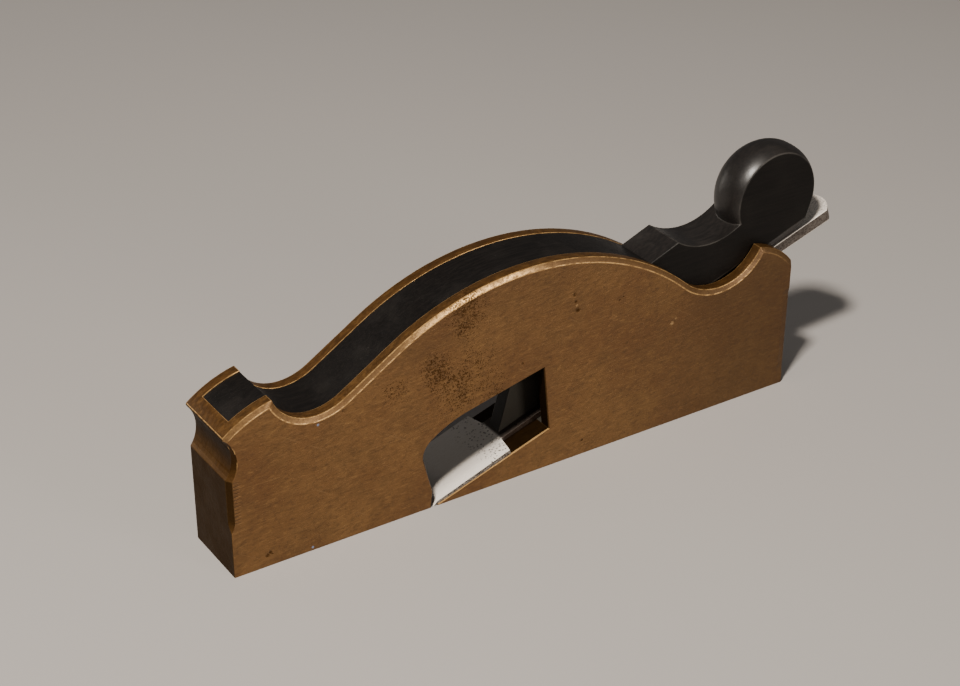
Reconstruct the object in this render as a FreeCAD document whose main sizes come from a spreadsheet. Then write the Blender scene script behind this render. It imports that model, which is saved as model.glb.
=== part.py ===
"""Infill shoulder plane: gunmetal casting, ebony infills and wedge, full-width steel iron.

Frame: X runs from toe (-) to heel (+), Y across the sole, Z up.
The origin is on the sole, below the middle of the body's length and width.
Sizes are millimetres and degrees, and come from the sheet named Size.
"""
import FreeCAD, Part
import os

import Sketcher

App = FreeCAD
Vector = App.Vector

DIMENSIONS = (
    # the casting
    ("body_length", 216.0), ("body_width", 25.4), ("cheek_thickness", 4.3),
    ("toe_wall", 3.4), ("heel_wall", 4.5), ("sole_thickness", 5.0),
    # its top outline: a crown, then a dip, a ridge and a round at the toe and at the heel
    ("crown_height", 75.7), ("crown_radius", 94.0),
    ("toe_flank_offset", 50.0), ("toe_dip_offset", 77.8), ("toe_dip_height", 47.3),
    ("toe_dip_radius", 15.2), ("toe_ridge_offset", 92.1), ("toe_round_radius", 40.0),
    ("heel_dip_offset", 76.5), ("heel_dip_height", 46.6),
    ("heel_dip_radius", 19.5), ("heel_ridge_offset", 93.7), ("heel_round_radius", 24.0),
    ("heel_top_height", 48.4), ("top_bevel_down", 1.8), ("top_bevel_in", 0.6),
    # the moulded toe and the stopped corner bevels
    ("lip_height", 49.6), ("lip_overhang", 0.6), ("lip_depth", 0.8),
    ("cove_radius", 11.9), ("cove_foot_height", 34.0),
    ("toe_bevel_front", 2.1), ("toe_bevel_side", 1.4), ("toe_bevel_foot", 16.0),
    ("toe_bevel_cove_radius", 13.5), ("toe_bevel_lip_depth", 0.4),
    ("heel_bevel_back", 0.3), ("heel_bevel_side", 2.4), ("heel_bevel_foot", 3.5),
    ("heel_bevel_top", 38.0), ("bevel_run_out", 4.0), ("bevel_run_out_radius", 9.0),
    # mouth, bed and the escapement through both cheeks, measured from the toe face
    ("mouth_front", 69.9), ("mouth_width", 2.4), ("bed_angle", 18.2), ("bed_start", 71.0),
    ("escape_heel_foot", 115.2), ("escape_heel_top", 112.8), ("escape_heel_height", 38.0),
    ("escape_roof", 84.6), ("escape_roof_height", 31.3),
    ("escape_brow", 70.2), ("escape_brow_height", 24.9),
    ("escape_front", 67.2), ("escape_front_height", 19.0),
    ("escape_foot", 70.6), ("escape_foot_height", 6.0),
    ("escape_roof_radius", 40.0), ("escape_brow_radius", 7.5),
    # ebony infills
    ("infill_recess", 0.15), ("abutment_angle", 27.3),
    # cross pins: place along the length from the toe face, height above the sole
    ("pin_radius", 1.6),
    ("toe_pin_place", 26.0), ("toe_pin_height", 24.0),
    ("throat_pin_place", 56.0), ("throat_pin_height", 42.0),
    ("crown_pin_place", 126.2), ("crown_pin_height", 54.9),
    ("bed_pin_place", 139.0), ("bed_pin_height", 13.0),
    ("heel_pin_place", 192.0), ("heel_pin_height", 22.0),
    # iron: taper in thickness, full-width end, tang and tail
    ("iron_length", 179.6), ("iron_width", 25.0), ("iron_edge_thickness", 0.9),
    ("iron_taper", 1.2), ("iron_bevel", 1.6), ("shoulder_from_edge", 31.2),
    ("shoulder_slope", 1.2), ("tang_width", 11.5),
    ("tail_near_drop", 3.6), ("tail_far_drop", 0.9), ("tail_radius", 9.0),
    # wedge with its thumb hollow and finger rest
    ("slide_clearance", 0.08), ("wedge_width", 16.3), ("wedge_tongue_width", 5.4),
    ("wedge_tip", 102.0), ("wedge_tip_top", 108.6),
    ("wedge_flare_start", 119.0), ("wedge_flare_end", 150.0),
    ("facet_foot", 157.6), ("facet_top", 169.2), ("facet_top_height", 65.8),
    ("hollow_end", 194.8), ("hollow_end_height", 65.1), ("hollow_radius", 24.0),
    ("rest_centre", 211.0), ("rest_centre_height", 71.0), ("rest_radius", 18.4),
    ("rest_front_height", 69.4), ("rest_back_height", 67.0), ("rest_rim_radius", 3.0),
    ("wedge_back", 223.0),
    ("wedge_foot_bevel_in", 3.0), ("wedge_foot_bevel_up", 5.0),
    # edge breaks
    ("arris", 0.35),
)

FRONT_PINS = ("toe", "throat", "crown")
REAR_PINS = ("bed", "heel")

# numbers that a sketch gives to a side's own points
START, END, CENTRE = 1, 2, 3
ORIGIN = (-1, START)

OVERSHOOT = 12.0        # how far cutting outlines run past the metal they cut
SEARCH_MARGIN = 1.0     # slack around a region when its edges are looked up
SAME_LENGTH = 1e-6      # measures closer than this count as equal

doc = App.newDocument("ShoulderPlane")
sheet = doc.addObject("Spreadsheet::Sheet", "Size")
sheet.Label = "Size"
for row, (alias, number) in enumerate(DIMENSIONS, start=1):
    sheet.set(f"A{row}", alias)
    sheet.set(f"B{row}", str(number))
    sheet.setAlias(f"B{row}", alias)
doc.recompute()


def at(expression):
    """Value of an expression over the sheet's cells."""
    result = sheet.evalExpression(expression.replace("Size.", ""))
    return float(getattr(result, "Value", result))


def along(place):
    """X of a place that is measured from the toe face."""
    return f"({place} - Size.body_length / 2)"


HALF_LENGTH = "(Size.body_length / 2)"
CHANNEL_WIDTH = "(Size.body_width - 2 * Size.cheek_thickness)"
ABOVE_ALL = f"(Size.crown_height + {OVERSHOOT})"
THROUGH_WIDTH = "(2 * Size.body_width)"
TOP_PLANE_ANGLE = "(Size.bed_angle + Size.iron_taper)"


def bed_height(x):
    """Height of the iron's bed at X = x."""
    return f"(({x} - {along('Size.bed_start')}) * tan(Size.bed_angle * 1deg))"


def iron_top_height(x):
    """Height of the iron's top face at X = x."""
    rise = "(Size.iron_edge_thickness * cos(Size.bed_angle * 1deg)"
    rise += " + Size.slide_clearance / cos(Size.bed_angle * 1deg))"
    start = f"({along('Size.bed_start')} - Size.iron_edge_thickness * sin(Size.bed_angle * 1deg))"
    return f"(({x} - {start}) * tan({TOP_PLANE_ANGLE} * 1deg) + {rise})"


def abutment_height(x):
    """Height of the front infill's underside, which the wedge bears on, at X = x."""
    start = along("Size.escape_heel_top")
    return f"(({x} - {start}) * tan(Size.abutment_angle * 1deg) + Size.escape_heel_height)"


def new_body(label):
    body = doc.addObject("PartDesign::Body", label)
    body.Label = label
    return body


def plane_of(body, role):
    return next(feature for feature in body.Origin.OriginFeatures if feature.Role == role)


def new_sketch(body, name, plane="XZ_Plane", offset=None):
    sketch = body.newObject("Sketcher::SketchObject", name)
    sketch.AttachmentSupport = [(plane_of(body, plane), "")]
    sketch.MapMode = "FlatFace"
    if offset is not None:
        sketch.AttachmentOffset = offset
    return sketch


def arc_between(start, end, radius):
    """Minor arc that runs counterclockwise from start to end."""
    chord = end.sub(start)
    middle = start.add(end).multiply(0.5)
    reach = max(radius * radius - chord.Length * chord.Length / 4, 0.0) ** 0.5
    across = Vector(-chord.y, chord.x, 0).normalize()
    centre = middle.add(across.multiply(reach))
    circle = Part.Circle(centre, Vector(0, 0, 1), radius)
    return Part.ArcOfCircle(circle, circle.parameter(start), circle.parameter(end))


def closed_outline(sketch, corners, bends=None):
    """Draw a closed outline and bind every corner and radius to the sheet.

    corners: (across, up) expressions in order.
    bends: corner number -> (radius expression, "left" or "right"), the way that the side
    leaving that corner turns.
    """
    bends = bends or {}
    points = [Vector(at(across), at(up), 0) for across, up in corners]
    starts, ends = [], []
    for number, start in enumerate(points):
        end = points[(number + 1) % len(points)]
        if number not in bends:
            side = sketch.addGeometry(Part.LineSegment(start, end))
            starts.append((side, START))
            ends.append((side, END))
            continue
        radius, turn = bends[number]
        if turn == "left":
            side = sketch.addGeometry(arc_between(start, end, at(radius)))
            starts.append((side, START))
            ends.append((side, END))
        else:
            side = sketch.addGeometry(arc_between(end, start, at(radius)))
            starts.append((side, END))
            ends.append((side, START))
    for number, (across, up) in enumerate(corners):
        bind_point(sketch, starts[number], f"corner{number}", across, up)
        following = (number + 1) % len(corners)
        sketch.addConstraint(Sketcher.Constraint("Coincident", *ends[number], *starts[following]))
    for number, (radius, _turn) in bends.items():
        bind_radius(sketch, starts[number][0], f"radius{number}", radius)


def bind_point(sketch, vertex, name, across, up):
    for axis, measure in (("X", across), ("Y", up)):
        constraint = Sketcher.Constraint(f"Distance{axis}", *ORIGIN, *vertex, at(measure))
        number = sketch.addConstraint(constraint)
        sketch.renameConstraint(number, f"{name}_{axis.lower()}")
        sketch.setExpression(f"Constraints.{name}_{axis.lower()}", measure)


def bind_radius(sketch, side, name, radius):
    number = sketch.addConstraint(Sketcher.Constraint("Radius", side, at(radius)))
    sketch.renameConstraint(number, name)
    sketch.setExpression(f"Constraints.{name}", radius)


def drilled_circles(sketch, places, radius):
    for number, (across, up) in enumerate(places):
        circle = Part.Circle(Vector(at(across), at(up), 0), Vector(0, 0, 1), at(radius))
        side = sketch.addGeometry(circle)
        bind_point(sketch, (side, CENTRE), f"circle{number}", across, up)
        bind_radius(sketch, side, f"circle{number}_radius", radius)


def pin_place(pin):
    """Place of a cross pin's axis: X and height."""
    return along(f"Size.{pin}_pin_place"), f"Size.{pin}_pin_height"


def drill_for_pins(body, pins):
    holes = new_sketch(body, f"{body.Label}_pin_holes")
    drilled_circles(holes, [pin_place(pin) for pin in pins], "Size.pin_radius")
    extrude(body, "Pocket", f"{body.Label}_drilling", holes, THROUGH_WIDTH)


def extrude(body, kind, name, sketch, length):
    """Pad or Pocket, the same distance to both sides of its sketch."""
    before = body.Shape.Volume if kind == "Pocket" else 0.0
    feature = body.newObject(f"PartDesign::{kind}", name)
    feature.Profile = sketch
    feature.SideType = "Symmetric"
    feature.setExpression("Length", length)
    doc.recompute()
    if kind == "Pocket" and before - body.Shape.Volume < SAME_LENGTH:
        raise RuntimeError(f"{name} removed nothing")
    return feature


def mirror_across(body, name, features):
    mirror = body.newObject("PartDesign::Mirrored", name)
    mirror.Originals = features
    mirror.MirrorPlane = (plane_of(body, "XZ_Plane"), [""])
    body.Tip = mirror
    doc.recompute()


def edges_where(shape, wanted):
    return [f"Edge{number}" for number, edge in enumerate(shape.Edges, start=1) if wanted(edge)]


def bevel(body, name, edges, size, second=None):
    """Bevel edges: size on the first face of each, second (if given) on the other."""
    base = body.Tip
    feature = body.newObject("PartDesign::Chamfer", name)
    feature.Base = (base, edges)
    feature.setExpression("Size", size)
    if second is not None:
        feature.ChamferType = "Two distances"
        feature.setExpression("Size2", second)
    doc.recompute()
    return feature


def lies_on_side(edge, half_width):
    """True for an edge that lies wholly in one of the two planes Y = +-half_width."""
    box = edge.BoundBox
    flat = box.YLength < SAME_LENGTH
    return flat and abs(abs(box.YMax) - half_width) < SAME_LENGTH


# ---- outlines shared by the casting and the infills --------------------------------------

def top_outline(recess):
    """Corners and bends of the top, from the toe lip to the heel, lowered by recess.

    The crown is one arc. It turns into the heel's dip at once, and into the toe's by a
    straight flank.
    """
    crown_radius = f"(Size.crown_radius - {recess})"
    crown_centre = "(Size.crown_height - Size.crown_radius)"

    sine = "(Size.toe_flank_offset / Size.crown_radius)"
    cosine = f"sqrt(1 - {sine} ^ 2)"
    flank_top = f"({crown_centre} + Size.crown_radius * {cosine})"
    flank_run = "(Size.toe_dip_offset - Size.toe_flank_offset)"
    toe_bend = (f"((Size.toe_dip_height - {flank_top} + {flank_run} * {sine} / {cosine})"
                f" * {cosine} / (1 - {cosine}))")
    toe_radius = f"({toe_bend} + {recess})"

    drop = "(Size.crown_height - Size.heel_dip_height)"
    heel_bend = f"((Size.heel_dip_offset ^ 2 / {drop} - 2 * Size.crown_radius + {drop}) / 2)"
    share = f"({crown_radius} / (Size.crown_radius + {heel_bend}))"
    heel_centre = f"(Size.heel_dip_height + {heel_bend})"

    def outer_radius(end):
        return f"(Size.{end}_dip_radius + {recess})"

    def ridge_height(end):
        reach = f"(Size.{end}_ridge_offset - Size.{end}_dip_offset)"
        return (f"(Size.{end}_dip_height + Size.{end}_dip_radius"
                f" - sqrt({outer_radius(end)} ^ 2 - {reach} ^ 2))")

    corners = [
        (f"(-{HALF_LENGTH} - Size.lip_overhang)", f"(Size.lip_height - {recess})"),
        ("(-Size.toe_ridge_offset)", ridge_height("toe")),
        ("(-Size.toe_dip_offset)", f"(Size.toe_dip_height - {recess})"),
        (f"(-Size.toe_dip_offset + {toe_radius} * {sine})",
         f"(Size.toe_dip_height + {toe_bend} - {toe_radius} * {cosine})"),
        (f"(-{crown_radius} * {sine})", f"({crown_centre} + {crown_radius} * {cosine})"),
        (f"(Size.heel_dip_offset * {share})",
         f"({crown_centre} + ({heel_centre} - {crown_centre}) * {share})"),
        ("Size.heel_dip_offset", f"(Size.heel_dip_height - {recess})"),
        ("Size.heel_ridge_offset", ridge_height("heel")),
        (HALF_LENGTH, f"(Size.heel_top_height - {recess})"),
    ]
    bends = {
        0: (f"(Size.toe_round_radius - {recess})", "right"),
        1: (outer_radius("toe"), "left"),
        2: (toe_radius, "left"),
        4: (crown_radius, "right"),
        5: (f"({heel_bend} + {recess})", "left"),
        6: (outer_radius("heel"), "left"),
        7: (f"(Size.heel_round_radius - {recess})", "right"),
    }
    return corners, bends


def throat_outline():
    """Roof, brow and front of the throat, from its rear top corner down to its foot."""
    corners = [
        (along("Size.escape_heel_top"), "Size.escape_heel_height"),
        (along("Size.escape_roof"), "Size.escape_roof_height"),
        (along("Size.escape_brow"), "Size.escape_brow_height"),
        (along("Size.escape_front"), "Size.escape_front_height"),
        (along("Size.escape_foot"), "Size.escape_foot_height"),
    ]
    bends = {
        1: ("Size.escape_roof_radius", "left"),
        2: ("Size.escape_brow_radius", "left"),
    }
    return corners, bends


# ---- the casting -------------------------------------------------------------------------

def corner_bevel_sketch(body, name, corner_x, normal_x, normal_y, corners, bends):
    """Sketch in the upright plane that halves a corner of the near side.

    Its across axis points out of the metal, and its zero is the corner itself.
    """
    turn = App.Rotation(Vector(1, 0, 0), Vector(normal_x, 0, normal_y))
    base = Vector(corner_x, 0, at("Size.body_width / 2"))
    sketch = new_sketch(body, name, offset=App.Placement(base, turn))
    closed_outline(sketch, corners, bends)
    return sketch


def bevel_depth(first, second):
    """How deep a bevel of two widths cuts, measured square to its face from the corner."""
    return f"({first} * {second} / sqrt({first} ^ 2 + {second} ^ 2))"


def add_corner_bevels(body):
    """Stopped bevels that run out in curves: the near toe corner's and both heel corners'."""
    outside = "(Size.bevel_run_out)"
    run_out = "Size.bevel_run_out"
    curve = "Size.bevel_run_out_radius"
    toe_depth = bevel_depth("Size.toe_bevel_front", "Size.toe_bevel_side")
    # the toe's bevel follows the cove and almost runs out under the lip
    lip_bottom = "(Size.lip_height - Size.lip_depth)"
    lip_end = f"(Size.lip_overhang * {toe_depth} / Size.toe_bevel_side - Size.toe_bevel_lip_depth)"
    toe = corner_bevel_sketch(
        body, "toe_bevel_outline", -at(HALF_LENGTH),
        -at("Size.toe_bevel_front"), at("Size.toe_bevel_side"),
        [(outside, "Size.toe_bevel_foot"), ("0", "Size.toe_bevel_foot"),
         (f"(-{toe_depth})", f"(Size.toe_bevel_foot + {run_out})"),
         (f"(-{toe_depth})", "Size.cove_foot_height"),
         (lip_end, lip_bottom), (outside, lip_bottom)],
        {1: (curve, "right"), 3: ("Size.toe_bevel_cove_radius", "right")})
    extrude(body, "Pocket", "toe_bevel", toe, "2 * Size.bevel_run_out")

    heel_depth = bevel_depth("Size.heel_bevel_back", "Size.heel_bevel_side")
    heel = corner_bevel_sketch(
        body, "heel_bevel_outline", at(HALF_LENGTH),
        at("Size.heel_bevel_back"), at("Size.heel_bevel_side"),
        [(outside, "Size.heel_bevel_foot"), ("0", "Size.heel_bevel_foot"),
         (f"(-{heel_depth})", f"(Size.heel_bevel_foot + {run_out})"),
         (f"(-{heel_depth})", f"(Size.heel_bevel_top - {run_out})"),
         ("0", "Size.heel_bevel_top"), (outside, "Size.heel_bevel_top")],
        {1: (curve, "right"), 3: (curve, "right")})
    heel_cut = extrude(body, "Pocket", "near_heel_bevel", heel, "2 * Size.bevel_run_out")
    mirror_across(body, "far_heel_bevel", [heel_cut])


def make_casting():
    body = new_body("body_casting")
    corners, bends = top_outline("0")
    front = f"(-{HALF_LENGTH})"
    # the outline goes on down the heel, back along the sole, up the toe and round its cove
    last = len(corners)
    corners += [
        (HALF_LENGTH, "0"),
        (front, "0"),
        (front, "Size.cove_foot_height"),
        (f"({front} - Size.lip_overhang)", "(Size.lip_height - Size.lip_depth)"),
    ]
    bends[last + 2] = ("Size.cove_radius", "left")
    sketch = new_sketch(body, "side_outline")
    closed_outline(sketch, corners, bends)
    extrude(body, "Pad", "solid_block", sketch, "Size.body_width")

    half_width = at("Size.body_width / 2")
    lowest_top = at("Size.heel_dip_height") - SEARCH_MARGIN

    def on_top(edge):
        high = edge.BoundBox.ZMin > lowest_top
        upright = edge.BoundBox.XLength < SAME_LENGTH
        return high and not upright and lies_on_side(edge, half_width)

    bevel(body, "top_bevel", edges_where(body.Shape, on_top), "Size.top_bevel_in",
          "Size.top_bevel_down")
    add_corner_bevels(body)

    # hollow between the cheeks: an infill pocket each side of the solid ramp under the iron
    toe_face = along("Size.toe_wall")
    heel_face = f"({HALF_LENGTH} - Size.heel_wall)"
    ramp_end = along("Size.escape_heel_foot")
    ramp_start = f"({along('Size.bed_start')} + Size.sole_thickness / tan(Size.bed_angle * 1deg))"
    behind = f"({HALF_LENGTH} + {OVERSHOOT})"
    channel = new_sketch(body, "channel_outline")
    closed_outline(channel, [
        (toe_face, ABOVE_ALL),
        (toe_face, "Size.sole_thickness"),
        (ramp_start, "Size.sole_thickness"),
        (ramp_end, bed_height(ramp_end)),
        (ramp_end, "Size.sole_thickness"),
        (heel_face, "Size.sole_thickness"),
        (heel_face, bed_height(heel_face)),
        (behind, bed_height(behind)),
        (behind, ABOVE_ALL),
    ])
    extrude(body, "Pocket", "channel", channel, CHANNEL_WIDTH)

    # the escapement goes right through both cheeks and down through the sole as the mouth
    throat, throat_bends = throat_outline()
    mouth_back = along("(Size.mouth_front + Size.mouth_width)")
    escape = throat + [
        (along("Size.mouth_front"), "0"),
        (along("Size.mouth_front"), "(-Size.sole_thickness)"),
        (mouth_back, "(-Size.sole_thickness)"),
        (mouth_back, bed_height(mouth_back)),
        (ramp_end, bed_height(ramp_end)),
    ]
    opening = new_sketch(body, "escapement_outline")
    closed_outline(opening, escape, throat_bends)
    extrude(body, "Pocket", "escapement", opening, THROUGH_WIDTH)

    left, right = at(along("Size.escape_front")), at(ramp_end)
    roof = at("Size.escape_heel_height")

    def on_escapement(edge):
        box = edge.BoundBox
        along_it = box.XMin > left - SEARCH_MARGIN and box.XMax < right + SEARCH_MARGIN
        above_sole = SAME_LENGTH < box.ZMax < roof + SEARCH_MARGIN
        return along_it and above_sole and lies_on_side(edge, half_width)

    bevel(body, "escapement_arris", edges_where(body.Shape, on_escapement), "Size.arris")

    drill_for_pins(body, FRONT_PINS + REAR_PINS)
    return body


# ---- ebony infills and their pins --------------------------------------------------------

def make_front_infill():
    """Ebony from the toe wall over the crown, undercut as throat and wedge abutment."""
    body = new_body("front_infill")
    corners, bends = top_outline("Size.infill_recess")
    corners += [(HALF_LENGTH, "Size.sole_thickness"),
                (f"(-{HALF_LENGTH} - Size.lip_overhang)", "Size.sole_thickness")]
    sketch = new_sketch(body, "infill_side_outline")
    closed_outline(sketch, corners, bends)
    extrude(body, "Pad", "infill_block", sketch, CHANNEL_WIDTH)

    ahead = f"(-{HALF_LENGTH} - {OVERSHOOT})"
    behind = f"({HALF_LENGTH} + {OVERSHOOT})"
    toe_face = along("Size.toe_wall")
    toe_trim = new_sketch(body, "toe_trim_outline")
    closed_outline(toe_trim, [(ahead, "0"), (toe_face, "0"), (toe_face, ABOVE_ALL),
                              (ahead, ABOVE_ALL)])
    extrude(body, "Pocket", "toe_trim", toe_trim, THROUGH_WIDTH)

    throat, throat_bends = throat_outline()
    undercut = new_sketch(body, "undercut_outline")
    closed_outline(undercut, throat + [
        (along("Size.escape_foot"), "0"),
        (behind, "0"),
        (behind, abutment_height(behind)),
    ], throat_bends)
    extrude(body, "Pocket", "undercut", undercut, THROUGH_WIDTH)
    drill_for_pins(body, FRONT_PINS)
    return body


def make_rear_infill():
    """Ebony bed block between the ramp in the casting and the heel wall."""
    body = new_body("rear_infill")
    front = along("Size.escape_heel_foot")
    back = f"({HALF_LENGTH} - Size.heel_wall)"
    sketch = new_sketch(body, "bed_block_outline")
    closed_outline(sketch, [
        (front, "Size.sole_thickness"), (back, "Size.sole_thickness"),
        (back, bed_height(back)), (front, bed_height(front)),
    ])
    extrude(body, "Pad", "bed_block", sketch, CHANNEL_WIDTH)
    drill_for_pins(body, REAR_PINS)
    return body


def make_pin(name):
    """Pin through both cheeks and the ebony, filed flush with the cheeks."""
    pin = doc.addObject("Part::Cylinder", f"infill_pin_{name}")
    pin.Label = f"infill_pin_{name}"
    pin.setExpression("Radius", "Size.pin_radius")
    pin.setExpression("Height", "Size.body_width")
    pin.Placement = App.Placement(Vector(0, 0, 0), App.Rotation(Vector(1, 0, 0), 90))
    place, height = pin_place(name)
    pin.setExpression(".Placement.Base.x", place)
    pin.setExpression(".Placement.Base.y", "Size.body_width / 2")
    pin.setExpression(".Placement.Base.z", height)
    return pin


# ---- the iron ----------------------------------------------------------------------------

def make_iron():
    """Iron drawn along its own length from the cutting edge, then laid on the bed."""
    body = new_body("iron")
    half = "(Size.iron_width / 2)"
    tang = "(Size.tang_width / 2)"
    tang_start = "(Size.shoulder_from_edge + Size.shoulder_slope)"
    plan = new_sketch(body, "plan_outline", plane="XY_Plane")
    closed_outline(plan, [
        ("0", f"(-{half})"),
        ("Size.shoulder_from_edge", f"(-{half})"),
        (tang_start, f"(-{tang})"),
        ("(Size.iron_length - Size.tail_near_drop)", f"(-{tang})"),
        ("(Size.iron_length - Size.tail_far_drop)", tang),
        (tang_start, tang),
        ("Size.shoulder_from_edge", half),
        ("0", half),
    ], {3: ("Size.tail_radius", "left")})
    # padded to both sides, so half of it is above the face that lies on the bed
    thick = "(2 * (Size.iron_edge_thickness + Size.iron_length))"
    extrude(body, "Pad", "blank", plan, thick)

    edge_top = "Size.iron_edge_thickness"
    tail = f"(Size.iron_length + {OVERSHOOT})"
    ahead = f"(-{OVERSHOOT})"
    tail_top = f"({edge_top} + {tail} * tan(Size.iron_taper * 1deg))"
    bevel_top = f"({edge_top} + Size.iron_bevel * tan(Size.iron_taper * 1deg))"
    face = new_sketch(body, "top_face_outline")
    closed_outline(face, [
        ("0", "0"), ("Size.iron_bevel", bevel_top), (tail, tail_top), (tail, thick),
        (ahead, thick), (ahead, "0"),
    ])
    extrude(body, "Pocket", "tapered_top", face, "(2 * Size.iron_width)")
    under = new_sketch(body, "under_face_outline")
    closed_outline(under, [(ahead, "0"), (ahead, f"(-{thick})"), (tail, f"(-{thick})"),
                           (tail, "0")])
    extrude(body, "Pocket", "flat_underside", under, "(2 * Size.iron_width)")

    # laid on the bed, lifted square to it by the sliding clearance
    turn = App.Rotation(Vector(0, -1, 0), at("Size.bed_angle"))
    body.Placement = App.Placement(Vector(0, 0, 0), turn)
    body.setExpression(".Placement.Base.x", along("Size.bed_start")
                       + " - Size.slide_clearance * sin(Size.bed_angle * 1deg)")
    body.setExpression(".Placement.Base.z", "Size.slide_clearance * cos(Size.bed_angle * 1deg)")
    return body


# ---- the wedge ---------------------------------------------------------------------------

def make_wedge():
    body = new_body("wedge")
    gap = "Size.slide_clearance"
    tip = along("Size.wedge_tip")
    tip_top = along("Size.wedge_tip_top")
    facet = along("Size.facet_foot")
    back = along("Size.wedge_back")
    middle = along("Size.rest_centre")

    def rest_side(height):
        """How far the finger rest's side is from its centre at a height."""
        return f"sqrt(Size.rest_radius ^ 2 - ({height} - Size.rest_centre_height) ^ 2)"

    rest_front = f"({middle} - {rest_side('Size.rest_front_height')})"
    rest_back = f"({middle} + {rest_side('Size.rest_back_height')})"
    rest_top = "(Size.rest_centre_height + Size.rest_radius)"
    profile = new_sketch(body, "wedge_outline")
    closed_outline(profile, [
        (tip, f"({iron_top_height(tip)} + {gap})"),
        (back, f"({iron_top_height(back)} + {gap})"),
        (rest_back, "Size.rest_back_height"),
        (middle, rest_top),
        (rest_front, "Size.rest_front_height"),
        (along("Size.hollow_end"), "Size.hollow_end_height"),
        (along("Size.facet_top"), "Size.facet_top_height"),
        (facet, f"({abutment_height(facet)} - {gap})"),
        (tip_top, f"({abutment_height(tip_top)} - {gap})"),
    ], {2: ("Size.rest_radius", "left"), 3: ("Size.rest_radius", "left"),
        5: ("Size.hollow_radius", "right")})
    extrude(body, "Pad", "wedge_blank", profile, "Size.wedge_width")

    half = at("Size.wedge_width / 2")
    rest_left = at(rest_front) - SEARCH_MARGIN
    foot = at(iron_top_height(tip)) + SEARCH_MARGIN

    def round_rest(edge):
        curved = edge.Curve.TypeId == "Part::GeomCircle"
        return curved and edge.BoundBox.XMin > rest_left and lies_on_side(edge, half)

    def along_foot(edge):
        box = edge.BoundBox
        whole_length = box.XMin < at(tip) + SEARCH_MARGIN and box.XMax > at(rest_front)
        return whole_length and box.ZMin < foot and lies_on_side(edge, half)

    rim = body.newObject("PartDesign::Fillet", "rest_rim")
    rim.Base = (doc.getObject("wedge_blank"), edges_where(body.Shape, round_rest))
    rim.setExpression("Radius", "Size.rest_rim_radius")
    doc.recompute()
    bevel(body, "foot_bevel", edges_where(body.Shape, along_foot), "Size.wedge_foot_bevel_in",
          "Size.wedge_foot_bevel_up")

    # the end that enters the throat is a tongue, narrower than the tang, and widens behind it
    start = along("Size.wedge_flare_start")
    end = along("Size.wedge_flare_end")
    ahead = along(f"(Size.wedge_tip - {OVERSHOOT})")
    outer = "(Size.body_width / 2)"
    inner = "(Size.wedge_tongue_width / 2)"
    full = "(Size.wedge_width / 2)"
    for side, sign in (("near", "-"), ("far", "")):
        plan = new_sketch(body, f"{side}_flare_outline", plane="XY_Plane")
        closed_outline(plan, [(ahead, f"({sign}{inner})"), (start, f"({sign}{inner})"),
                              (end, f"({sign}{full})"), (end, f"({sign}{outer})"),
                              (ahead, f"({sign}{outer})")])
        extrude(body, "Pocket", f"{side}_flare", plan, f"(2 * {ABOVE_ALL})")
    return body


# ---- build, check and write --------------------------------------------------------------

parts = [make_casting(), make_front_infill(), make_rear_infill(), make_iron(), make_wedge()]
parts += [make_pin(name) for name in FRONT_PINS + REAR_PINS]
doc.recompute()

for item in doc.Objects:
    if "Invalid" in item.State or "Error" in item.State:
        raise RuntimeError(f"{item.Label} failed: {item.State}")
for part in parts:
    if part.Shape.isNull() or not part.Shape.isValid() or len(part.Shape.Solids) != 1:
        raise RuntimeError(f"{part.Label} isn't one valid solid")

os.makedirs("parts", exist_ok=True)
for part in parts:
    part.Shape.exportStep(os.path.join("parts", f"{part.Label}.step"))
    box = part.Shape.BoundBox
    print(f"{part.Label:18s} {part.Shape.Volume:10.1f} mm3"
          f"  x {box.XMin:8.2f} {box.XMax:8.2f}"
          f"  y {box.YMin:7.2f} {box.YMax:7.2f}  z {box.ZMin:7.2f} {box.ZMax:7.2f}")
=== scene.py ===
"""Looks of an infill shoulder plane: aged gunmetal casting, ebony infills and wedge, steel iron.

Blender's lengths are metres. X runs from toe to heel, Y across the sole, Z up from the sole.
Places on the plane are given in millimetres behind the toe face and above the sole.
"""

import math

import bmesh
import bpy
from mathutils import Matrix, Vector


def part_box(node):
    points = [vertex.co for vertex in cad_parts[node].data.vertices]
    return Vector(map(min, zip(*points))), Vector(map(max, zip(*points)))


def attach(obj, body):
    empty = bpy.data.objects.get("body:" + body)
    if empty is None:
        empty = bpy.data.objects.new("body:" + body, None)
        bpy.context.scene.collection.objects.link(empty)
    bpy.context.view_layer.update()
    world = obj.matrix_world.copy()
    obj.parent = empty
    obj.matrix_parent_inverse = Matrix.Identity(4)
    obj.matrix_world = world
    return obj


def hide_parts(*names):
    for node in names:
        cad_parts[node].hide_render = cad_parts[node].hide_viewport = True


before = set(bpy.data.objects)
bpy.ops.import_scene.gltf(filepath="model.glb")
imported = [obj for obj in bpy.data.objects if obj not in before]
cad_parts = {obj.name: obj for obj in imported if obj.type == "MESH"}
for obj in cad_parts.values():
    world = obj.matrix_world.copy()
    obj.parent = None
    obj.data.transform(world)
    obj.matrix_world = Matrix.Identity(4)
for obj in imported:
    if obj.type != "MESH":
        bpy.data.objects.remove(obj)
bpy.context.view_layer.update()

MM = 0.001
BODY_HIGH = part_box("body_casting")[1]
IRON_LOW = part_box("iron")[0]
TOE = -BODY_HIGH.x                 # X of the toe face; the body is centred on its length
HALF_WIDTH = BODY_HIGH.y
BED_ANGLE = math.radians(18.2)     # the iron's underside
TOP_ANGLE = math.radians(19.4)     # the iron's top face, which the wedge bears on
EDGE_START = 71.0                  # where the iron's underside meets the sole
EDGE_THICKNESS = 0.9               # of the iron there


def behind(x):
    """X of a place so many millimetres behind the toe face."""
    return TOE + x * MM


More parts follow.
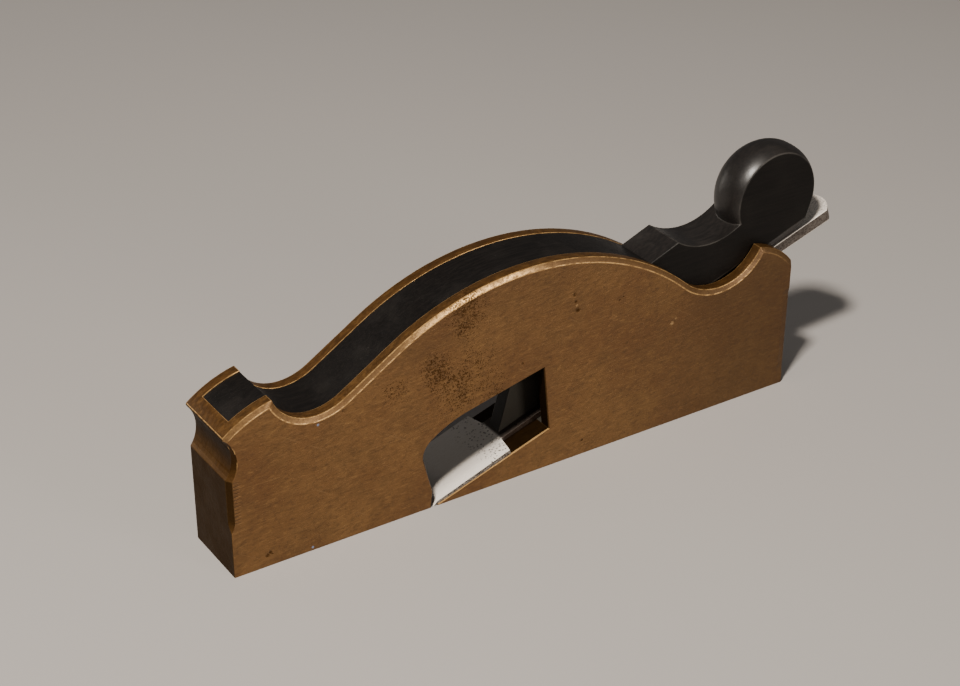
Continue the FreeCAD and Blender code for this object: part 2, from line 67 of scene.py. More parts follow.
def from_toe(x, z, y=0.0):
    """Point from millimetres behind the toe face, above the sole and across."""
    return Vector((behind(x), y * MM, z * MM))


# ---- node materials ----------------------------------------------------------------------

WEAR = "wear"                      # face attribute: 1 on rounded arrises


class Surface:
    """A Principled material, with short calls for the nodes that feed it."""

    def __init__(self, name, **constants):
        self.material = bpy.data.materials.new(name)
        self.material.use_nodes = True
        self.tree = self.material.node_tree
        self.shader = self.tree.nodes["Principled BSDF"]
        for socket, value in constants.items():
            self.shader.inputs[socket.replace("_", " ")].default_value = value
        self.place = self.node("TexCoord").outputs["Object"]

    def node(self, kind, **settings):
        made = self.tree.nodes.new("ShaderNode" + kind)
        for name, value in settings.items():
            setattr(made, name, value)
        return made

    def feed(self, socket, source):
        if hasattr(source, "is_linked"):
            self.tree.links.new(source, socket)
        else:
            socket.default_value = source

    # patterns

    def stretched(self, x, y, z, turn=0.0):
        """Object coordinates, turned about Y, then scaled along each axis (cells per metre)."""
        turned = self.node("Mapping", vector_type="POINT")
        turned.inputs["Rotation"].default_value = (0.0, turn, 0.0)
        self.feed(turned.inputs["Vector"], self.place)
        scaled = self.node("Mapping", vector_type="POINT")
        scaled.inputs["Scale"].default_value = (x, y, z)
        self.feed(scaled.inputs["Vector"], turned.outputs["Vector"])
        return scaled.outputs["Vector"]

    def noise(self, scale, detail=2.0, roughness=0.5, vector=None):
        node = self.node("TexNoise")
        self.feed(node.inputs["Vector"], self.place if vector is None else vector)
        node.inputs["Scale"].default_value = scale
        node.inputs["Detail"].default_value = detail
        node.inputs["Roughness"].default_value = roughness
        return node.outputs["Fac"]

    def cells(self, scale):
        """Distance to the middle of the nearest random cell."""
        node = self.node("TexVoronoi", feature="F1")
        self.feed(node.inputs["Vector"], self.place)
        node.inputs["Scale"].default_value = scale
        return node.outputs["Distance"]

    def wear(self):
        return self.node("Attribute", attribute_name=WEAR).outputs["Fac"]

    # places and directions

    def axis(self, vector, name):
        node = self.node("SeparateXYZ")
        self.feed(node.inputs["Vector"], vector)
        return node.outputs[name]

    def own_normal(self):
        """True face normal in the object's own axes."""
        geometry = self.node("NewGeometry")
        turned = self.node("VectorTransform", vector_type="NORMAL",
                           convert_from="WORLD", convert_to="OBJECT")
        self.feed(turned.inputs["Vector"], geometry.outputs["True Normal"])
        return turned.outputs["Vector"]

    def spot(self, x, z, inner, outer):
        """1 within inner millimetres of a place on the side, 0 beyond outer; leaves Y out."""
        away = self.node("VectorMath", operation="SUBTRACT")
        self.feed(away.inputs[0], self.place)
        away.inputs[1].default_value = from_toe(x, z)
        flat = self.node("VectorMath", operation="MULTIPLY")
        self.feed(flat.inputs[0], away.outputs["Vector"])
        flat.inputs[1].default_value = (1.0, 0.0, 1.0)
        length = self.node("VectorMath", operation="LENGTH")
        self.feed(length.inputs[0], flat.outputs["Vector"])
        return self.step(length.outputs["Value"], inner * MM, outer * MM, 1.0, 0.0)

    # sums

    def calc(self, operation, a, b=0.0):
        node = self.node("Math", operation=operation)
        self.feed(node.inputs[0], a)
        self.feed(node.inputs[1], b)
        return node.outputs["Value"]

    def times(self, first, *others):
        for other in others:
            first = self.calc("MULTIPLY", first, other)
        return first

    def largest(self, first, *others):
        for other in others:
            first = self.calc("MAXIMUM", first, other)
        return first

    def plus(self, a, b):
        return self.calc("ADD", a, b)

    def minus(self, a, b):
        return self.calc("SUBTRACT", a, b)

    def amount(self, a):
        """How large a number is, whatever its sign."""
        return self.calc("ABSOLUTE", a)

    def step(self, value, low, high, out_low=0.0, out_high=1.0):
        """Smooth step from low, which gives out_low, to high; low may be above high."""
        node = self.node("MapRange", interpolation_type="SMOOTHSTEP")
        self.feed(node.inputs["Value"], value)
        for name, number in (("From Min", low), ("From Max", high),
                             ("To Min", out_low), ("To Max", out_high)):
            self.feed(node.inputs[name], number)
        return node.outputs["Result"]

    # colours and the shader's inputs

    def coat(self, base, share, colour):
        """Lay a colour over a base, which may be a colour too, where share is above 0."""
        node = self.node("Mix", data_type="RGBA", blend_type="MIX")
        self.feed(node.inputs["Factor"], share)
        self.feed(node.inputs["A"], (*base, 1.0) if isinstance(base, tuple) else base)
        self.feed(node.inputs["B"], (*colour, 1.0))
        return node.outputs["Result"]

    def colour(self, source):
        self.feed(self.shader.inputs["Base Color"], source)

    def rough(self, source):
        self.feed(self.shader.inputs["Roughness"], source)

    def gloss(self, source):
        self.feed(self.shader.inputs["Specular IOR Level"], source)

    def bump(self, *layers):
        """Stack (height, strength, distance) layers into the shader's normal."""
        normal = None
        for height, strength, distance in layers:
            node = self.node("Bump")
            node.inputs["Strength"].default_value = strength
            node.inputs["Distance"].default_value = distance
            self.feed(node.inputs["Height"], height)
            if normal is not None:
                self.feed(node.inputs["Normal"], normal)
            normal = node.outputs["Normal"]
        self.feed(self.shader.inputs["Normal"], normal)


# marks on the casting: millimetres behind the toe, above the sole, and of reach
DENTS = ((125.5, 55.5, 1.3), (124.6, 58.6, 0.9), (124.1, 61.3, 1.0), (142.2, 54.2, 0.6),
         (143.6, 55.0, 0.5), (39.1, 46.3, 0.7), (56.2, 46.7, 0.6), (11.3, 4.0, 1.1),
         (12.4, 4.8, 0.9), (13.0, 4.2, 0.6), (104.4, 42.2, 0.8), (128.9, 5.3, 0.6))
PALE_SPECKS = ((164.5, 39.1, 1.0), (166.0, 40.6, 0.6), (125.0, 57.2, 0.6))
BLUE_SPECKS = ((30.5, 44.3, 0.6), (26.9, 1.2, 0.6))
THROAT_PITS = (86.0, 38.0, 26.0)
CROWN_PITS = ((84.0, 66.0, 15.0), (72.0, 50.0, 13.0), (58.0, 47.0, 9.0))

# the opening in both cheeks, inside which the casting is painted dark as shade
THROAT_FRONT, THROAT_BACK, THROAT_ROOF = 65.0, 119.0, 39.5

# a ladder of short file marks beside the toe's bevel
LADDER_FRONT, LADDER_BACK, LADDER_FOOT, LADDER_TOP = 0.8, 4.2, 18.0, 35.0
RUNG_SPACING = 1.1855 * MM


def gunmetal():
    s = Surface("gunmetal", Metallic=0.55)
    blotch = s.noise(34.0, 4.0, 0.62)
    cloud = s.noise(110.0, 3.0, 0.6)
    grain = s.noise(900.0, 3.0, 0.65)
    lines = s.noise(1.0, 3.0, 0.6, s.stretched(60.0, 900.0, 2600.0))
    scratches = s.noise(1.0, 2.0, 0.5, s.stretched(55.0, 900.0, 1900.0, math.radians(-32)))
    mottle = s.noise(1.0, 3.0, 0.65, s.stretched(300.0, 620.0, 760.0, math.radians(8)))
    base = (0.112, 0.050, 0.0135)
    for share, colour in ((s.step(blotch, 0.35, 0.68), (0.150, 0.074, 0.0210)),
                          (s.step(cloud, 0.42, 0.72, 0.0, 0.50), (0.086, 0.041, 0.0105)),
                          (s.step(mottle, 0.48, 0.72, 0.0, 0.50), (0.070, 0.032, 0.0075)),
                          (s.step(mottle, 0.46, 0.28, 0.0, 0.42), (0.215, 0.112, 0.0330)),
                          (s.step(grain, 0.50, 0.75, 0.0, 0.45), (0.050, 0.023, 0.0060)),
                          (s.step(lines, 0.55, 0.78, 0.0, 0.40), (0.200, 0.108, 0.0360)),
                          (s.step(scratches, 0.67, 0.75, 0.0, 0.30), (0.200, 0.110, 0.0420))):
        base = s.coat(base, share, colour)

    # painted shade: the colour is darker towards the heel and the crown, where less light falls,
    # and the patina there is more golden
    normal = s.own_normal()
    across = s.amount(s.axis(normal, "Y"))
    up = s.axis(normal, "Z")
    height = s.axis(s.place, "Z")
    length = s.axis(s.place, "X")
    heel_crown_shade_and_patina = s.largest(s.step(length, behind(123.0), behind(213.0)),
                     s.step(height, 40.0 * MM, 80.0 * MM, 0.0, 0.40))
    base = s.coat(base, s.times(heel_crown_shade_and_patina, 0.58), (0.036, 0.0150, 0.0022))

    # painted shade: both ends, the top and the inside of the throat are darkened in the colour
    ends_shade = s.times(s.step(s.amount(s.axis(normal, "X")), 0.40, 0.90), s.step(up, 0.75, 0.35))
    # painted shade on the toe and heel faces, lighter where the cove's lower part faces up
    base = s.coat(base, s.times(ends_shade, s.step(up, 0.0, 0.4, 0.88, 0.60)),
                  (0.0165, 0.0080, 0.0018))
    # painted shade on the top faces, broken by the mottle
    top_shade = s.times(s.step(across, 0.25, 0.10), s.step(up, 0.45, 0.7))
    base = s.coat(base, s.times(top_shade, s.step(mottle, 0.35, 0.65, 0.10, 0.62)),
                  (0.044, 0.0205, 0.0058))
    # painted shade inside the throat's opening, short of the cheeks' outer faces
    throat_shade = s.step(s.amount(s.axis(s.place, "Y")), HALF_WIDTH - 0.1 * MM, HALF_WIDTH - 0.4 * MM)
    throat_shade = s.times(throat_shade,
                     s.step(height, THROAT_ROOF * MM, (THROAT_ROOF - 1.0) * MM),
                     s.step(length, behind(THROAT_FRONT), behind(THROAT_FRONT + 1.0)),
                     s.step(length, behind(THROAT_BACK), behind(THROAT_BACK - 1.0)))
    base = s.coat(base, s.times(throat_shade, 0.93), (0.0110, 0.0058, 0.0020))

    # casting pits: sparse all over, thick above the throat's opening
    x, z, reach = THROAT_PITS
    patch = s.spot(x, z, 4.0, reach)
    for x, z, reach in CROWN_PITS:
        patch = s.largest(patch, s.spot(x, z, 2.0, reach))
    crowd = s.plus(s.step(s.noise(58.0), 0.50, 0.78, 0.0, 0.7), s.times(patch, 0.95))
    pit = s.step(s.minus(s.times(crowd, 0.40), s.cells(1650.0)), 0.0, 0.08)
    pit = s.times(pit, s.step(mottle, 0.36, 0.56, 0.35, 0.85))
    ragged = s.step(grain, 0.38, 0.58, 0.15, 1.0)
    for x, z, reach in DENTS:
        pit = s.largest(pit, s.times(s.spot(x, z, reach * 0.2, reach), ragged))
    base = s.coat(base, s.times(pit, 0.85), (0.034, 0.0150, 0.0038))

    rungs = s.step(s.calc("SINE", s.times(height, 2.0 * math.pi / RUNG_SPACING)), 0.30, 0.90)
    ladder = s.times(s.step(length, behind(LADDER_BACK), behind(LADDER_BACK - 2.2)),
                     s.step(length, behind(LADDER_FRONT), behind(LADDER_FRONT + 0.6)),
                     s.step(height, LADDER_FOOT * MM, (LADDER_FOOT + 2.0) * MM),
                     s.step(height, LADDER_TOP * MM, (LADDER_TOP - 3.0) * MM),
                     rungs, s.step(across, 0.9, 0.99))
    base = s.coat(base, s.times(ladder, 0.6), (0.030, 0.0135, 0.0040))

    # painted highlight on the top's bevel where the crown rises and a little beside the toe;
    # elsewhere the bevel is painted darker as shade
    rise = s.times(s.step(length, behind(52.0), behind(80.0)),
                   s.step(length, behind(120.0), behind(96.0)))
    beside_toe = s.step(length, behind(42.0), behind(30.0))
    bevel = s.times(s.step(across, 0.70, 0.80), s.step(across, 0.985, 0.96),
                    s.step(up, 0.10, 0.25))
    base = s.coat(base, s.times(bevel, s.step(rise, 0.0, 1.0, 0.45, 0.0)),
                  (0.058, 0.027, 0.0070))
    # how far the painted highlight reaches along the bevel
    highlight_reach = s.largest(s.step(rise, 0.0, 1.0, 0.06, 1.0), s.times(beside_toe, 0.18))
    bevel = s.times(bevel, highlight_reach, s.step(grain, 0.32, 0.60, 0.25, 0.95))

    # arrises are worn bright; the chamfer at the foot of the throat's opening gets a painted
    # highlight, laid on in the same colour as the wear and the bevel's painted highlight
    throat_foot_highlight = s.times(s.step(up, 0.40, 0.60), s.step(height, 24.0 * MM, 18.0 * MM),
                        s.step(across, 0.50, 0.60))
    worn = s.times(s.wear(), s.step(height, 36.0 * MM, 44.0 * MM, 0.06, 1.0),
                   s.step(mottle, 0.36, 0.60, 0.15, 0.85),
                   s.step(length, behind(196.0), behind(203.0), 1.0, 0.3))
    wear_and_highlight = s.largest(bevel, worn, s.times(throat_foot_highlight, 0.8))
    wear_and_highlight = s.times(wear_and_highlight, s.minus(1.0, s.times(pit, 0.8)))
    base = s.coat(base, wear_and_highlight, (0.50, 0.30, 0.115))
    for x, z, reach in PALE_SPECKS:
        base = s.coat(base, s.times(s.spot(x, z, reach * 0.3, reach), ragged),
                      (0.33, 0.20, 0.085))
    for x, z, reach in BLUE_SPECKS:
        base = s.coat(base, s.spot(x, z, reach * 0.3, reach), (0.16, 0.20, 0.30))
    s.colour(base)

    # the painted shade and the pits take the gloss down
    shade_and_pits = s.largest(ends_shade, throat_shade, s.times(top_shade, 0.5), pit)
    s.gloss(s.minus(0.45, s.times(shade_and_pits, 0.42)))
    dull = s.plus(s.step(cloud, 0.3, 0.75, 0.42, 0.55), s.times(pit, 0.25))
    dull = s.plus(dull, s.times(ends_shade, 0.15))
    s.rough(s.minus(dull, s.times(wear_and_highlight, 0.16)))
    s.bump((mottle, 0.30, 0.40 * MM), (lines, 0.12, 0.20 * MM),
           (s.minus(1.0, s.largest(pit, ladder)), 0.55, 0.25 * MM))
    return s.material


def ebony(name, rough_low, rough_high, grain_strength, shine, painted_light_gain):
    # painted_light_gain scales every colour; above 1 it paints light into them
    def shade(*colour):
        return tuple(painted_light_gain * channel for channel in colour)

    s = Surface(name)
    grain = s.noise(1.0, 4.0, 0.65, s.stretched(45.0, 1500.0, 1500.0))
    pores = s.noise(1.0, 2.0, 0.6, s.stretched(210.0, 3600.0, 3600.0))
    cloud = s.noise(75.0, 3.0, 0.6)
    base = s.coat(shade(0.0032, 0.0026, 0.0023), s.step(grain, 0.35, 0.70),
                  shade(0.0075, 0.0060, 0.0052))
    base = s.coat(base, s.step(cloud, 0.5, 0.8, 0.0, 0.5), shade(0.0125, 0.0100, 0.0085))
    dust = s.times(s.step(s.cells(300.0), 0.045, 0.020), s.step(cloud, 0.46, 0.56))
    base = s.coat(base, s.times(dust, 0.30), (0.16, 0.15, 0.14))

    # painted shade: the sides are darker in colour; hands polish the top, while the sides stay
    # matt
    normal = s.own_normal()
    side = s.step(s.amount(s.axis(normal, "Y")), 0.80, 0.97)
    base = s.coat(base, s.times(side, 0.7), (0.0020, 0.0016, 0.0013))

    # the wedge's tongue is paler in colour, and its end is painted black as shade
    tongue = s.times(s.step(s.axis(s.place, "X"), behind(122.0), behind(116.0)),
                     s.step(s.axis(s.place, "Z"), 40.0 * MM, 36.0 * MM))
    base = s.coat(base, s.times(tongue, 0.8), (0.034, 0.030, 0.024))
    # painted shade: the tongue's end, facing the toe, is black
    end = s.times(tongue, s.step(s.axis(normal, "X"), -0.5, -0.8))
    base = s.coat(base, end, (0.0012, 0.0010, 0.0008))

    rubbed = s.times(s.wear(), s.step(cloud, 0.40, 0.62, 0.1, 0.6))
    base = s.coat(base, rubbed, (0.048, 0.043, 0.038))
    s.colour(base)
    s.gloss(s.step(s.largest(side, end), 0.0, 1.0, shine, 0.10))
    s.rough(s.step(cloud, 0.3, 0.75, rough_low, rough_high))
    s.bump((s.step(pores, 0.60, 0.72, 1.0, 0.0), grain_strength, 0.12 * MM),
           (grain, grain_strength * 0.6, 0.20 * MM), (s.noise(240.0, 3.0, 0.6), 0.08, 0.50 * MM))
    return s.material


def steel():
    s = Surface("iron_steel", Metallic=0.20)
    ground = s.noise(1.0, 4.0, 0.7, s.stretched(130.0, 2600.0, 800.0, -BED_ANGLE))
    fleck = s.noise(1700.0, 3.0, 0.7)
    cloud = s.noise(160.0, 3.0, 0.6)
    base = s.coat((0.90, 0.82, 0.73), s.step(ground, 0.35, 0.72), (0.97, 0.91, 0.83))
    base = s.coat(base, s.step(fleck, 0.60, 0.74, 0.0, 0.5), (0.30, 0.26, 0.23))

    along_bed = s.plus(s.times(s.axis(s.place, "X"), math.cos(BED_ANGLE)),
                       s.times(s.axis(s.place, "Z"), math.sin(BED_ANGLE)))

    def along(low, high, out_low=0.0, out_high=1.0):
        """Smooth step between two distances up the bed from the cutting edge, in millimetres."""
        edge = behind(EDGE_START) * math.cos(BED_ANGLE)
        return s.step(along_bed, edge + low * MM, edge + high * MM, out_low, out_high)

    # rust pits behind the cutting end
    pits = s.times(s.step(s.cells(950.0), 0.42, 0.20), s.step(s.noise(330.0), 0.38, 0.50),
                   along(20.0, 25.0), along(150.0, 120.0))
    base = s.coat(base, s.times(pits, 0.85), (0.045, 0.032, 0.024))

    # a dark brown tang, darkened further as painted shade, then a greyer, flecked tail
    tang = s.times(along(31.8, 33.0), along(155.0, 140.0))
    base = s.coat(base, s.times(tang, 0.97), (0.045, 0.032, 0.025))
    tail = along(120.0, 150.0)
    base = s.coat(base, s.times(tail, 0.30), (0.33, 0.29, 0.26))
    base = s.coat(base, s.times(tail, s.step(fleck, 0.50, 0.58), 0.55), (0.16, 0.13, 0.11))
    # the iron's sides are stained dark brown and darkened further as painted shade
    flank = s.step(s.amount(s.axis(s.own_normal(), "Y")), 0.5, 0.8)
    base = s.coat(base, s.times(flank, s.step(fleck, 0.40, 0.66, 0.97, 0.75)),
                  (0.022, 0.013, 0.009))

    # painted shade: the cutting end away from the near cheek is darker, leaving the strip beside
    # the near cheek bright
    inner = s.times(s.step(s.axis(s.place, "Y"), -11.8 * MM, -6.0 * MM), along(34.0, 30.0))
    base = s.coat(base, s.times(inner, 0.50), (0.27, 0.245, 0.225))
    base = s.coat(base, s.times(s.wear(), tail), (0.80, 0.74, 0.67))
    s.colour(base)
    s.gloss(s.minus(0.5, s.times(s.largest(tang, flank), 0.42)))
    s.rough(s.plus(s.step(cloud, 0.3, 0.7, 0.36, 0.46), s.times(flank, 0.12)))
    s.bump((ground, 0.10, 0.10 * MM), (fleck, 0.12, 0.10 * MM),
           (s.minus(1.0, pits), 0.5, 0.20 * MM))
    return s.material


def floor_finish():
    s = Surface("pale_floor", Roughness=0.55, Specular_IOR_Level=0.3)
    s.colour(s.coat((0.345, 0.325, 0.310), s.noise(3.0), (0.365, 0.345, 0.330)))
    return s.material


# ---- meshes ------------------------------------------------------------------------------

WELD = 1e-6                        # metres; corners of the CAD meshes that are one corner
WEDGE_WELD = 2e-6
SLIVER = 1e-5                      # metres; corners closer than this after rounding are joined
ON_PLANE = 1e-7                    # metres; corners this close to a cut lie on it
FLAT = math.radians(0.3)           # faces that meet at less are one face
SMOOTH = math.radians(32)          # edges that turn by more are shaded sharp
BROAD_FACE = 6e-5                  # square metres; faces above this are shaded flat
NARROW = 0.6 * MM                  # mean width of a face that has no room for a round


def everything(shape):
    return shape.verts[:] + shape.edges[:] + shape.faces[:]


def weld(shape, distance):
    """Join corners and make each flat face whole."""
    bmesh.ops.remove_doubles(shape, verts=shape.verts, dist=distance)
    bmesh.ops.dissolve_limit(shape, angle_limit=FLAT, verts=shape.verts, edges=shape.edges)


def take_shape(node):
    """An editable copy of a CAD node's mesh."""
    shape = bmesh.new()
    shape.from_mesh(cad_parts[node].data)
    weld(shape, WELD)
    shape.faces.layers.float.new(WEAR)
    return shape


def as_piece(shape, name, body, material, stands_for):
    """Make a piece of the object from a bmesh, without the slivers that rounds can leave."""
    bmesh.ops.remove_doubles(shape, verts=shape.verts, dist=SLIVER)
    bmesh.ops.recalc_face_normals(shape, faces=shape.faces)
    shape.verts.index_update()
    layer = shape.faces.layers.float[WEAR]
    worn = [face[layer] for face in shape.faces]
    mesh = bpy.data.meshes.new(name)
    mesh.from_pydata([v.co[:] for v in shape.verts], [],
                     [[v.index for v in f.verts] for f in shape.faces])
    mesh.attributes.new(WEAR, "FLOAT", "FACE").data.foreach_set("value", worn)
    shape.free()
    mesh.shade_smooth()
    mesh.set_sharp_from_angle(angle=SMOOTH)
    for polygon in mesh.polygons:
        if polygon.area > BROAD_FACE:
            polygon.use_smooth = False
    piece = bpy.data.objects.new(name, mesh)
    bpy.context.scene.collection.objects.link(piece)
    mesh.materials.append(material)
    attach(piece, body)
    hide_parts(stands_for)


def soften(shape, edges, width, segments=2):
    """Round edges, and mark the rounds as worn."""
    rounds = bmesh.ops.bevel(shape, geom=edges, offset=width, offset_type="OFFSET",
                             affect="EDGES", segments=segments, profile=0.6,
                             clamp_overlap=False)["faces"]
    layer = shape.faces.layers.float[WEAR]
    for face in rounds:
        face[layer] = 1.0


def sharp_edges(shape, least_angle, spare=lambda edge: False):
    """Edges that turn by more than an angle, whose faces have room for a round."""
    def narrow(face):
        longest = max(edge.calc_length() for edge in face.edges)
        return face.calc_area() < longest * NARROW
    return [edge for edge in shape.edges
            if len(edge.link_faces) == 2 and edge.calc_face_angle(0.0) > least_angle
            and not any(narrow(face) for face in edge.link_faces) and not spare(edge)]


def cut_away(shape, point, normal):
    """Remove what lies beyond a plane and close the cut."""
    result = bmesh.ops.bisect_plane(shape, geom=everything(shape), plane_co=point,
                                    plane_no=normal, clear_outer=True, dist=ON_PLANE)
    rim = [item for item in result["geom_cut"] if isinstance(item, bmesh.types.BMEdge)]
    bmesh.ops.edgeloop_fill(shape, edges=rim)


def make_casting(material):
    shape = take_shape("body_casting")
    pins = [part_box(node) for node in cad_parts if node.startswith("infill_pin_")]

    def round_a_pin(edge):
        for low, high in pins:
            middle = (low + high) / 2
            reach = (high.x - low.x) / 2 + 0.3 * MM
            if all(math.hypot(v.co.x - middle.x, v.co.z - middle.z) < reach for v in edge.verts):
                return True
        return False

    soften(shape, sharp_edges(shape, math.radians(14), round_a_pin), 0.22 * MM)
    as_piece(shape, "casting", "plane_body", material, "body_casting")


def make_iron(material):
    shape = take_shape("iron")

    def at_cutting_edge(edge):
        return min(v.co.x for v in edge.verts) < IRON_LOW.x + 4.0 * MM

    soften(shape, sharp_edges(shape, math.radians(25), at_cutting_edge), 0.25 * MM)
    as_piece(shape, "plane_iron", "iron", material, "iron")


def make_front_infill(material):
    shape = take_shape("front_infill")
    as_piece(shape, "crown_infill", "plane_body", material, "front_infill")


# wedge: sizes in millimetres, places behind the toe face and above the sole
REST_CENTRE, REST_RADIUS = (211.0, 71.0), 18.4
REST_FOOT_DROP = 4.0                               # from its centre to where its round starts
NEAR_CROWN, FAR_CROWN = (2.0, 3.0), (4.4, 2.0)     # fall at the side, and how late it sets in
HOLLOW_CENTRE, HOLLOW_RADIUS = (182.55, 85.74), 24.0
FACET_TOP, FACET_FOOT = (169.2, 65.8), 157.6
ABUTMENT_START, ABUTMENT_ANGLE = (112.8, 38.0), math.radians(27.3)
WEDGE_BACK, WEDGE_TIP, WEDGE_TIP_TOP = 223.0, 102.0, 108.6
FLARE_START, FLARE_END = 119.0, 150.0              # where the tongue widens to the full wedge
WEDGE_HALF, TONGUE_HALF = 8.15, 2.7
FOOT_IN, FOOT_UP = 3.0, 5.0                        # bevel along the wedge's lower edges
CLEARANCE = 0.08
REST_STEPS, HOLLOW_STEPS, STATIONS = 72, 18, 20


def wedge_underside(x):
    """Height of the wedge's lower face, which clears the iron's top face."""
    start = EDGE_START - EDGE_THICKNESS * math.sin(BED_ANGLE)
    rise = EDGE_THICKNESS * math.cos(BED_ANGLE) + CLEARANCE / math.cos(BED_ANGLE)
    return (x - start) * math.tan(TOP_ANGLE) + rise + CLEARANCE


def wedge_top(x):
    """Height of the wedge's upper face, which clears its abutment on the front infill."""
    start, height = ABUTMENT_START
    return (x - start) * math.tan(ABUTMENT_ANGLE) + height - CLEARANCE


def arc(centre, radius, first, last, steps):
    """Points on a circle from one angle to another."""
    for step in range(steps + 1):
        angle = first + (last - first) * step / steps
        yield centre[0] + radius * math.cos(angle), centre[1] + radius * math.sin(angle)


def angle_at(centre, point):
    return math.atan2(point[1] - centre[1], point[0] - centre[0])


def rest_meets_hollow(radius):
    """Lower crossing of the finger rest's circle and the hollow's circle."""
    (ax, az), (bx, bz) = REST_CENTRE, HOLLOW_CENTRE
    span = math.hypot(bx - ax, bz - az)
    reach = (span ** 2 + radius ** 2 - HOLLOW_RADIUS ** 2) / (2 * span)
    height = math.sqrt(radius ** 2 - reach ** 2)
    ux, uz = (bx - ax) / span, (bz - az) / span
    crossings = [(ax + reach * ux - s * height * uz, az + reach * uz + s * height * ux)
                 for s in (1, -1)]
    return min(crossings, key=lambda point: point[1])


def wedge_outline(across):
    """Side outline at a distance from the middle; the rest is crowned across its width."""
    fall, power = NEAR_CROWN if across < 0 else FAR_CROWN
    radius = REST_RADIUS - fall * abs(across / WEDGE_HALF) ** power
    meet = rest_meets_hollow(radius)
    rest = arc(REST_CENTRE, radius, -math.asin(REST_FOOT_DROP / REST_RADIUS),
               angle_at(REST_CENTRE, meet) % (2 * math.pi), REST_STEPS)
    hollow = arc(HOLLOW_CENTRE, HOLLOW_RADIUS, angle_at(HOLLOW_CENTRE, meet),
                 angle_at(HOLLOW_CENTRE, FACET_TOP), HOLLOW_STEPS)
    next(hollow)                   # the rest's last point is this arc's first
    return [(WEDGE_TIP, wedge_underside(WEDGE_TIP)), (WEDGE_BACK, wedge_underside(WEDGE_BACK)),
            *rest, *hollow,
            (FACET_FOOT, wedge_top(FACET_FOOT)), (WEDGE_TIP_TOP, wedge_top(WEDGE_TIP_TOP))]


def make_wedge(material):
    shape = bmesh.new()
    shape.faces.layers.float.new(WEAR)
    rings = []
    for number in range(STATIONS + 1):
        across = -WEDGE_HALF + 2 * WEDGE_HALF * number / STATIONS
        rings.append([shape.verts.new(from_toe(x, z, across)) for x, z in wedge_outline(across)])
    for near, far in zip(rings, rings[1:]):
        for number in range(len(near)):
            following = (number + 1) % len(near)
            shape.faces.new((near[number], near[following], far[following], far[number]))
    shape.faces.new(rings[0])
    shape.faces.new(rings[-1][::-1])
    bmesh.ops.recalc_face_normals(shape, faces=shape.faces)

    # the end in the throat narrows to a tongue
    start, end = behind(FLARE_START), behind(FLARE_END)
    for place in (start, end):
        bmesh.ops.bisect_plane(shape, geom=everything(shape), plane_co=(place, 0.0, 0.0),
                               plane_no=(1.0, 0.0, 0.0), dist=ON_PLANE)
    for vert in shape.verts:
        flared = min(max((vert.co.x - start) / (end - start), 0.0), 1.0)
        vert.co.y *= (TONGUE_HALF + (WEDGE_HALF - TONGUE_HALF) * flared) / WEDGE_HALF

    # bevels that clear the inside corners of the channel
    run = Vector((math.cos(TOP_ANGLE), 0.0, math.sin(TOP_ANGLE)))
    rise = Vector((-run.z, 0.0, run.x))
    for side in (-1.0, 1.0):
        corner = from_toe(WEDGE_BACK, wedge_underside(WEDGE_BACK), side * WEDGE_HALF)
        out = Vector((0.0, side * FOOT_UP, 0.0)) - FOOT_IN * rise
        cut_away(shape, corner + FOOT_UP * MM * rise, out)
    weld(shape, WEDGE_WELD)
    soften(shape, sharp_edges(shape, math.radians(24)), 0.32 * MM, segments=3)
    as_piece(shape, "wedge_rest", "wedge", material, "wedge")


metal = gunmetal()
wood = ebony("ebony", rough_low=0.40, rough_high=0.52, grain_strength=0.30, shine=0.22, painted_light_gain=1.0)
# painted light: the wedge's ebony is 1.7 times lighter, standing in for light from behind
polished_wood = ebony("wedge_ebony", rough_low=0.36, rough_high=0.50, grain_strength=0.16,
                      shine=0.50, painted_light_gain=1.7)

make_casting(metal)
make_front_infill(wood)
make_iron(steel())
make_wedge(polished_wood)
for node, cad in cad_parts.items():
    if not cad.hide_render:        # the pins and the rear infill are shown as they came
        cad.data.materials.clear()
        cad.data.materials.append(metal if node.startswith("infill_pin_") else wood)

# ---- floor, lights and camera ------------------------------------------------------------

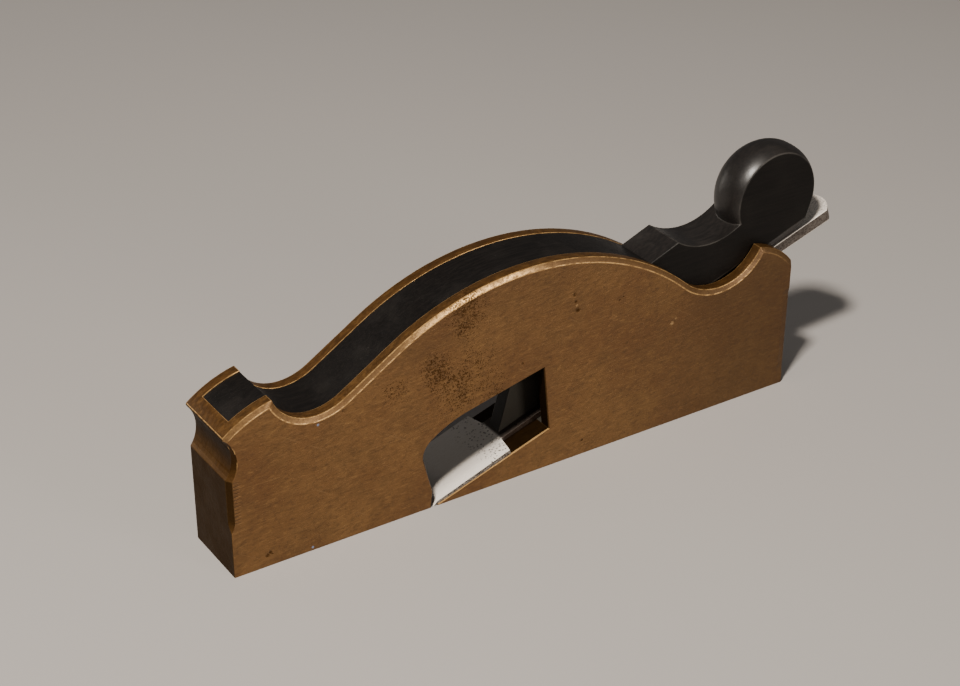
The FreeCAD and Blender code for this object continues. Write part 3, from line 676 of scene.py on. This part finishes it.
FLOOR_HALF = 6.0
AIM = Vector((-0.0115, 0.0, 0.0462))
WARM = (1.0, 0.93, 0.84)
SKY, SKY_STRENGTH = (0.80, 0.78, 0.78), 0.12
CAMERA_PLACE = Vector((-0.3079, -0.4515, 0.3509))
CAMERA_ROLL = math.radians(0.28)
SENSOR_WIDTH, FOCAL_LENGTH = 36.0, 72.94           # millimetres

floor_shape = bmesh.new()
bmesh.ops.create_grid(floor_shape, x_segments=1, y_segments=1, size=FLOOR_HALF)
floor_mesh = bpy.data.meshes.new("floor")
floor_shape.to_mesh(floor_mesh)
floor_shape.free()
floor = bpy.data.objects.new("floor", floor_mesh)
floor_mesh.materials.append(floor_finish())
bpy.context.scene.collection.objects.link(floor)


def softbox(name, direction, distance, size, watts):
    """A rectangular light at a distance from the plane's middle, facing it."""
    data = bpy.data.lights.new(name, "AREA")
    data.shape = "RECTANGLE"
    data.size, data.size_y = size
    data.energy = watts
    data.color = WARM
    light = bpy.data.objects.new(name, data)
    way = Vector(direction).normalized()
    light.location = AIM + way * distance
    light.rotation_mode = "QUATERNION"
    light.rotation_quaternion = way.to_track_quat("Z", "Y")
    bpy.context.scene.collection.objects.link(light)


softbox("key", (-0.43, -0.305, 0.85), distance=1.2, size=(0.12, 0.12), watts=28.0)
softbox("side_softbox", (0.34, -0.93, 0.10), distance=1.3, size=(0.40, 0.30), watts=9.0)
softbox("far_softbox", (-0.45, 0.87, 0.12), distance=1.4, size=(0.50, 0.40), watts=2.2)

world = bpy.data.worlds.new("studio")
world.use_nodes = True
sky = world.node_tree.nodes["Background"]
sky.inputs["Color"].default_value = (*SKY, 1.0)
sky.inputs["Strength"].default_value = SKY_STRENGTH
bpy.context.scene.world = world

lens = bpy.data.cameras.new("camera")
lens.sensor_width = SENSOR_WIDTH
lens.lens = FOCAL_LENGTH
lens.clip_start = 0.01
camera = bpy.data.objects.new("camera", lens)
camera.location = CAMERA_PLACE
camera.rotation_mode = "QUATERNION"
ahead = (AIM - CAMERA_PLACE).normalized()
roll = Matrix.Rotation(CAMERA_ROLL, 4, "Z").to_quaternion()
camera.rotation_quaternion = ahead.to_track_quat("-Z", "Y") @ roll
bpy.context.scene.collection.objects.link(camera)
bpy.context.scene.camera = camera
